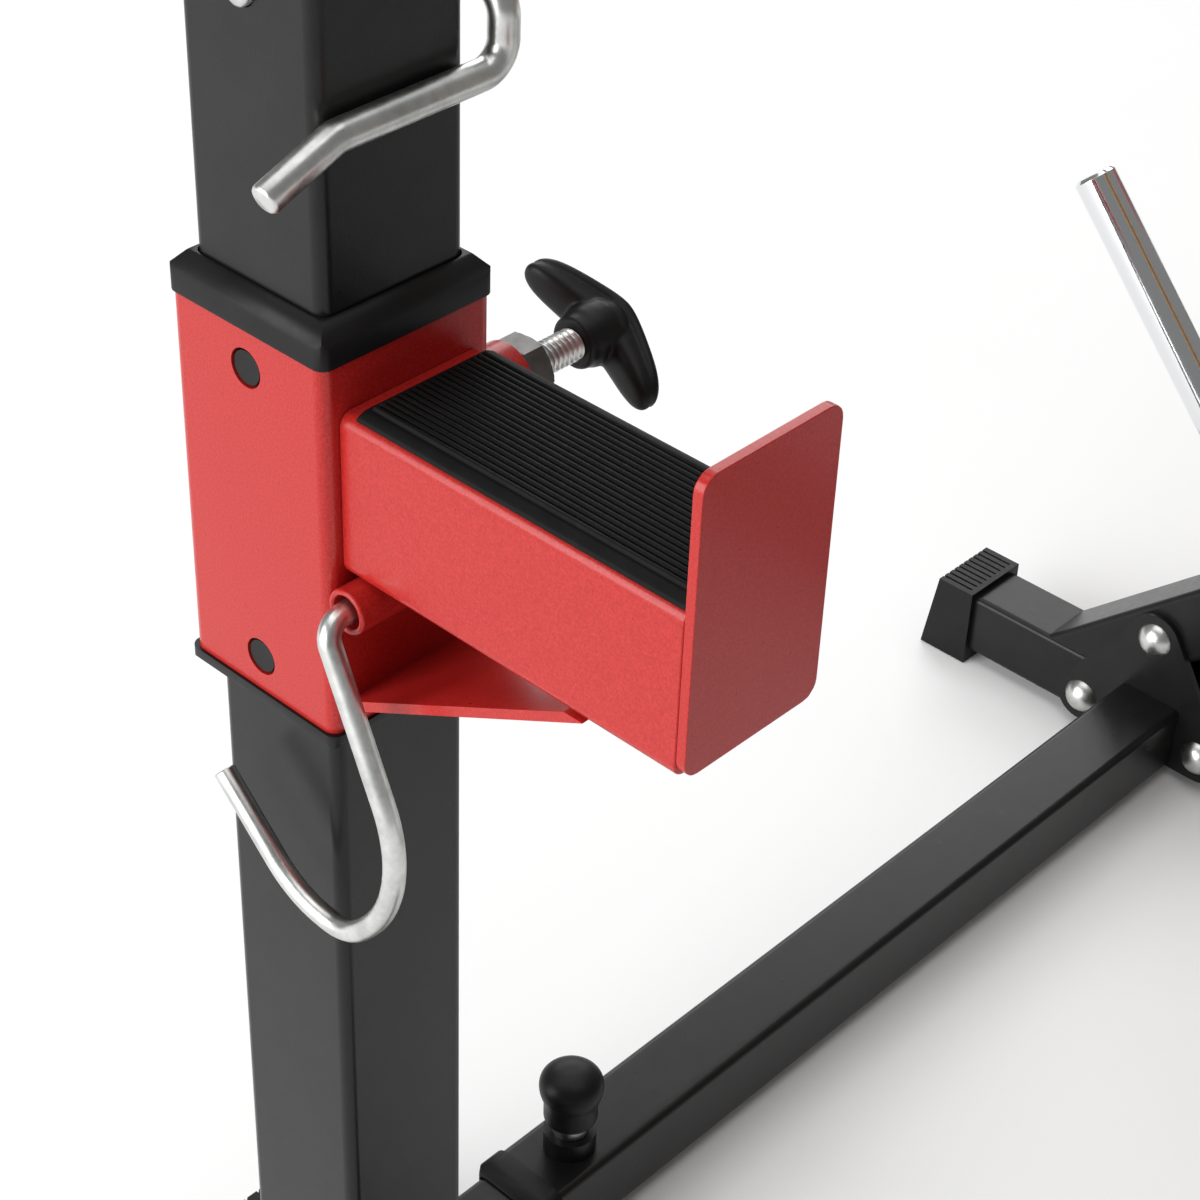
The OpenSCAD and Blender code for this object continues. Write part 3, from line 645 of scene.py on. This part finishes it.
def smooth_profile(points):
    """A smooth curve through (along, radius) points in millimetres, given back in metres."""
    steps = 6
    curve = []
    for i in range(len(points) - 1):
        p0, p1, p2, p3 = (Vector(points[min(max(k, 0), len(points) - 1)]) for k in range(i - 1, i + 3))
        for k in range(steps):
            t = k / steps
            curve.append(0.5 * (2 * p1 + (p2 - p0) * t + (2 * p0 - 5 * p1 + 4 * p2 - p3) * t * t
                                + (3 * p1 - p0 - 3 * p2 + p3) * t ** 3))
    curve.append(Vector(points[-1]))
    return [(p.x * MM, max(p.y, 0.02) * MM) for p in curve]


def pull_knob():
    """Mushroom knob of the width pin, and the pin's shank below it."""
    lo, hi = local("left_width_knob")
    x, y = (lo.x + hi.x) / 2, (lo.y + hi.y) / 2
    knob_height = 24.6
    low = hi.z - knob_height
    profile = [(0, 9), (0.4, 9.7), (1.4, 10.15), (4, 10.2), (8, 10.3), (11, 10.9), (13.5, 11.7),
               (16, 12.1), (18.4, 12), (20.6, 11.1), (22.5, 9.2), (23.8, 6.6), (24.5, 3.4),
               (knob_height, 0.1)]
    knob = lathe("knob", smooth_profile(profile), at(x, y, low), (0, 0, 1), MATERIALS["black_plastic"], 72)
    both_sides(knob, "pull_knob", "width_pin", "black_plastic", "width_knob")
    rise = low - lo.z
    shank = [(0, 2.2), (0.8, 3), (rise + 0.3, 3)]
    pin = lathe("pin", [(a * MM, r * MM) for a, r in shank], at(x, y, lo.z), (0, 0, 1),
                MATERIALS["zinc"], 48)
    both_sides(pin, "pull_knob_pin", "width_pin", "zinc")


# ---- Weld beads ----

def bead(name, points, radius_mm, body):
    """A painted weld bead: a low ripple along a seam."""
    points = [Vector(p) for p in points]
    path = []
    for a, b in zip(points, points[1:]):
        count = max(2, int((b - a).length / (0.9 * MM)))
        path += [a.lerp(b, k / count) for k in range(count)]
    path.append(points[-1])
    radii = [radius_mm * MM * (0.9 + 0.14 * abs(math.sin(i * 0.62)) + 0.05 * math.sin(i * 0.17))
             for i in range(len(path))]
    for i in range(3):
        radii[i] *= 0.45 + 0.2 * i
        radii[-1 - i] *= 0.45 + 0.2 * i
    attach(sweep(name, path, radii, MATERIALS["frame_steel"], 10), body, "frame_steel")


def flip(points):
    """The points on the other stand."""
    return [Vector((-p.x, p.y, p.z)) for p in points]


BEAD_MM = 1.8


def welds():
    """Weld beads where tubes meet on the frame and the stands."""
    foot_top = local("left_foot")[1].z
    lo, hi = local("left_upright")
    for name, y in (("foot_weld", lo.y), ("foot_weld_rear", hi.y)):
        seam = [at(lo.x, y, foot_top), at(hi.x, y, foot_top)]
        bead("left_" + name, seam, BEAD_MM, "left_stand")
        bead("right_" + name, flip(seam), BEAD_MM, "right_stand")
    spine_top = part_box("spine")[1].z
    lo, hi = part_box("front_post")
    for name, z in (("front_post_weld_low", spine_top), ("front_post_weld_high", hi.z)):
        for end, y in (("a", lo.y), ("b", hi.y)):
            bead(f"{name}_{end}", [(lo.x + 0.002, y, z), (hi.x - 0.002, y, z)], BEAD_MM, "frame")


# ---- Upholstery ----

def cushion_shape(w, length, thick, r, inset):
    """Outline loops of a plain cushion in its own coordinates: X across, Y along, Z up."""
    w, length = w - 2 * inset, length - 2 * inset
    outline = []
    for cx, cy, a0 in ((1, 1, 0), (-1, 1, 90), (-1, -1, 180), (1, -1, 270)):
        for k in range(9):
            a = math.radians(a0 + k * 11.25)
            outline.append((cx * (w / 2 - r) + r * math.cos(a), cy * (length / 2 - r) + r * math.sin(a)))
    rings = []
    edge = 0.009
    for z, pull in ((0, 0.002), (0.004, 0), (thick - inset - edge, 0), (thick - inset - 0.35 * edge, 0.003),
                    (thick - inset, 0.009)):
        rings.append([Vector((x * (1 - pull * 2 / w), y * (1 - pull * 2 / length), z))
                      for x, y in outline])
    return rings


def swell(obj, cap, pinned_z):
    """Cloth with inner pressure puffs the cushion; how far any point moves is capped."""
    remesh = obj.modifiers.new("voxels", "REMESH")
    remesh.mode = "VOXEL"
    remesh.voxel_size = 0.006
    apply_modifiers(obj)
    before = [v.co.copy() for v in obj.data.vertices]
    group = obj.vertex_groups.new(name="held")
    group.add([i for i, co in enumerate(before) if co.z < pinned_z], 1.0, "REPLACE")
    cloth = obj.modifiers.new("cloth", "CLOTH")
    cloth.settings.use_pressure = True
    cloth.settings.uniform_pressure_force = 4.0
    cloth.settings.effector_weights.gravity = 0.0
    cloth.settings.vertex_group_mass = "held"
    cloth.point_cache.frame_start, cloth.point_cache.frame_end = 1, 20
    for step in range(1, 21):
        bpy.context.scene.frame_set(step)
    apply_modifiers(obj)
    bpy.context.scene.frame_set(1)
    for v, start in zip(obj.data.vertices, before):
        move = v.co - start
        if move.length > cap:
            v.co = start + move.normalized() * cap


def tuck(obj, w, length, thick, piping_z, channels):
    """Pulls the cover in along the side seam and down along the sewn channels across the pad."""
    for v in obj.data.vertices:
        x, y, z = v.co
        dip = sum(math.exp(-((y - c) / 0.0045) ** 2) for c in channels)
        if z > thick * 0.6 and dip > 0.01:
            reach = max(0.0, 1 - (abs(x) / (w / 2 - 0.006)) ** 8)
            v.co.z -= 0.0042 * dip * (0.35 + 0.65 * reach)
        pinch = math.exp(-((z - piping_z) / 0.0035) ** 2)
        flat = Vector((x, y, 0))
        if pinch > 0.01 and flat.length > 0:
            edge = max(abs(x) / (w / 2), abs(y) / (length / 2))
            if edge > 0.9:
                v.co -= Vector((x / (w / 2), y / (length / 2), 0)) * 0.0016 * pinch


STITCH_SPACING = 0.0045


def stitches(name, path, place, body):
    """A row of short thread stitches along a path, as one mesh."""
    verts, faces = [], []
    length = 0.0
    for a, b in zip(path, path[1:]):
        step = b - a
        if step.length < 1e-6:
            continue
        ahead = step.normalized()
        while length < step.length:
            start = a + ahead * length
            add_stitch(verts, faces, start, start + ahead * STITCH_SPACING * 0.68)
            length += STITCH_SPACING
        length -= step.length
    obj = mesh_object(name, [place @ v for v in verts], faces, THREAD)
    return attach(obj, body, "vinyl")


def add_stitch(verts, faces, a, b):
    """One stitch: a small lens of thread lying on the cover."""
    ahead = (b - a).normalized()
    side = ahead.cross(Vector((0, 0, 1))).normalized() * 0.00042
    up = Vector((0, 0, 0.00045))
    base = len(verts)
    mid = (a + b) / 2
    verts += [a, mid + side, b, mid - side, mid + up, mid - up]
    faces += [(base, base + 1, base + 4), (base + 1, base + 2, base + 4), (base + 2, base + 3, base + 4),
              (base + 3, base, base + 4), (base + 1, base, base + 5), (base + 2, base + 1, base + 5),
              (base + 3, base + 2, base + 5), (base, base + 3, base + 5)]


def on_top(obj, points, lift):
    """Drops points onto the cover from above and lifts them by a hair."""
    bvh = BVHTree.FromObject(obj, bpy.context.evaluated_depsgraph_get())
    landed = []
    for p in points:
        hit = bvh.ray_cast(Vector((p.x, p.y, 0.3)), Vector((0, 0, -1)))
        if hit[0] is not None:
            landed.append(hit[0] + Vector((0, 0, lift)))
    return landed


def cushion(name, node, size, place, body, channels):
    """One upholstered pad: simulated cover, welted side seam, sewn channels, stitching."""
    w, length, thick, r = size
    inset = 0.004
    obj = rings_mesh(name, cushion_shape(w, length, thick, r, inset), MATERIALS["vinyl"])
    swell(obj, cap=0.007, pinned_z=0.003)
    piping_z = thick * 0.3
    fine = obj.modifiers.new("fine", "SUBSURF")
    fine.levels = fine.render_levels = 1
    apply_modifiers(obj)
    tuck(obj, w, length, thick, piping_z, channels)
    for k, c in enumerate(channels):
        for side, gap in (("a", -0.0055), ("b", 0.0055)):
            line = [Vector((-w / 2 + 0.012 + i * (w - 0.024) / 60, c + gap, 0)) for i in range(61)]
            stitches(f"{name}_stitch_{k}{side}", on_top(obj, line, lift=0.0001), place, body)
    welt(name + "_welt", obj, w, length, r, inset, piping_z, place, body)
    obj.data.transform(place)
    attach(obj, body, "vinyl", node)


def welt(name, cover, w, length, r, inset, z, place, body):
    """Covered cord sewn into the side seam all round, laid on the cover itself."""
    ring = [Vector((p.x, p.y, z)) for p in cushion_shape(w, length, 0.05, r, inset)[1]]
    bvh = BVHTree.FromObject(cover, bpy.context.evaluated_depsgraph_get())
    path = []
    for a, b in zip(ring, ring[1:] + ring[:1]):
        out = Vector((b.y - a.y, a.x - b.x, 0)).normalized()
        count = max(1, int((b - a).length / 0.004))
        for k in range(count):
            p = a.lerp(b, k / count)
            hit = bvh.ray_cast(p + out * 0.03, -out)
            path.append(hit[0] + out * 0.0008 if hit[0] is not None else p)
    for _ in range(3):
        path = [(path[i - 1] + path[i] * 2 + path[(i + 1) % len(path)]) / 4 for i in range(len(path))]
    path = [place @ p for p in path + [path[0]]]
    obj = sweep(name, path, [0.0021] * len(path), MATERIALS["vinyl"], 12)
    attach(obj, body, "vinyl")


def upholstery():
    """The backrest's pad, tilted as the backrest rests, and the seat's pad."""
    hinge = Vector(JOINTS["backrest_tilt"]["pos_m"])
    lo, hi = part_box("backrest_cushion")
    width = hi.x - lo.x
    tilt = math.radians(36)
    thick, low = 0.048, 0.024
    length = ((hi.y - lo.y) - thick * math.sin(tilt)) / math.cos(tilt)
    start = 0.008
    place = (Matrix.Translation(hinge) @ Matrix.Rotation(tilt, 4, "X")
             @ Matrix.Translation((0, start + length / 2, low)))
    seam = length * 0.17
    cushion("backrest_upholstery", "backrest_cushion", (width, length, thick, 0.026), place,
            "backrest", [-seam, seam])
    lo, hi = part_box("seat_cushion")
    place = Matrix.Translation(((lo.x + hi.x) / 2, (lo.y + hi.y) / 2, lo.z))
    cushion("seat_upholstery", "seat_cushion", (hi.x - lo.x, hi.y - lo.y, hi.z - lo.z, 0.034), place,
            "frame", [])


# ---- Stage ----

def floor():
    """A wide pale floor just under the feet."""
    half, z = 9, -0.0005
    corners = [(-half, -half, z), (half, -half, z), (half, half, z), (-half, half, z)]
    obj = mesh_object("floor", corners, [(0, 1, 2, 3)], floor_paint(), smooth=False)


def area_light(name, place, target, size, power):
    """A soft rectangular light at place that faces target."""
    data = bpy.data.lights.new(name, "AREA")
    data.shape = "RECTANGLE"
    data.size, data.size_y = size
    data.energy = power
    obj = bpy.data.objects.new(name, data)
    obj.location = place
    obj.rotation_mode = "QUATERNION"
    obj.rotation_quaternion = (Vector(target) - Vector(place)).to_track_quat("-Z", "Y")
    bpy.context.scene.collection.objects.link(obj)


WORLD_STRENGTH = 0.24


def lights():
    """A soft key from the left, a broad top light, one from behind and weaker light all round."""
    area_light("key_left", (-5.68, 1.84, 2.03), (-0.4, 0.4, 0.35), (5.28, 3.84), 380)
    area_light("top", (0.0, 1.16, 7.4), (0.0, 0.2, 0.2), (7.68, 7.68), 288)
    area_light("rear_right", (4.98, 5.44, 4.28), (-0.3, 0.4, 0.2), (6.24, 3.84), 253)
    world = bpy.data.worlds.new("studio")
    bpy.context.scene.world = world
    world.use_nodes = True
    world.node_tree.nodes["Background"].inputs["Color"].default_value = (1, 1, 1, 1)
    world.node_tree.nodes["Background"].inputs["Strength"].default_value = WORLD_STRENGTH
    bpy.context.scene.view_settings.view_transform = "Standard"


def camera():
    """Close view of the left stand, from its outer front side and above."""
    right = Vector((0.68753, -0.72544, 0.03244))
    up = Vector((0.41224, 0.42669, 0.80498))
    back = -Vector((0.59780, 0.54007, -0.59242))
    data = bpy.data.cameras.new("camera")
    data.lens, data.sensor_width = 79.9, 36
    data.clip_start, data.clip_end = 0.02, 60
    obj = bpy.data.objects.new("camera", data)
    turn = Matrix((right, up, back)).transposed()
    obj.matrix_world = Matrix.Translation(at(-402.43, -462.81, 797.2)) @ turn.to_4x4()
    bpy.context.scene.collection.objects.link(obj)
    bpy.context.scene.camera = obj


# ---- Build ----

for name in NODES:
    dress(name)
hook()
pivot_lips()
lock_pin()
clamp()
arm_pad()
pull_knob()
welds()
upholstery()
floor()
lights()
camera()
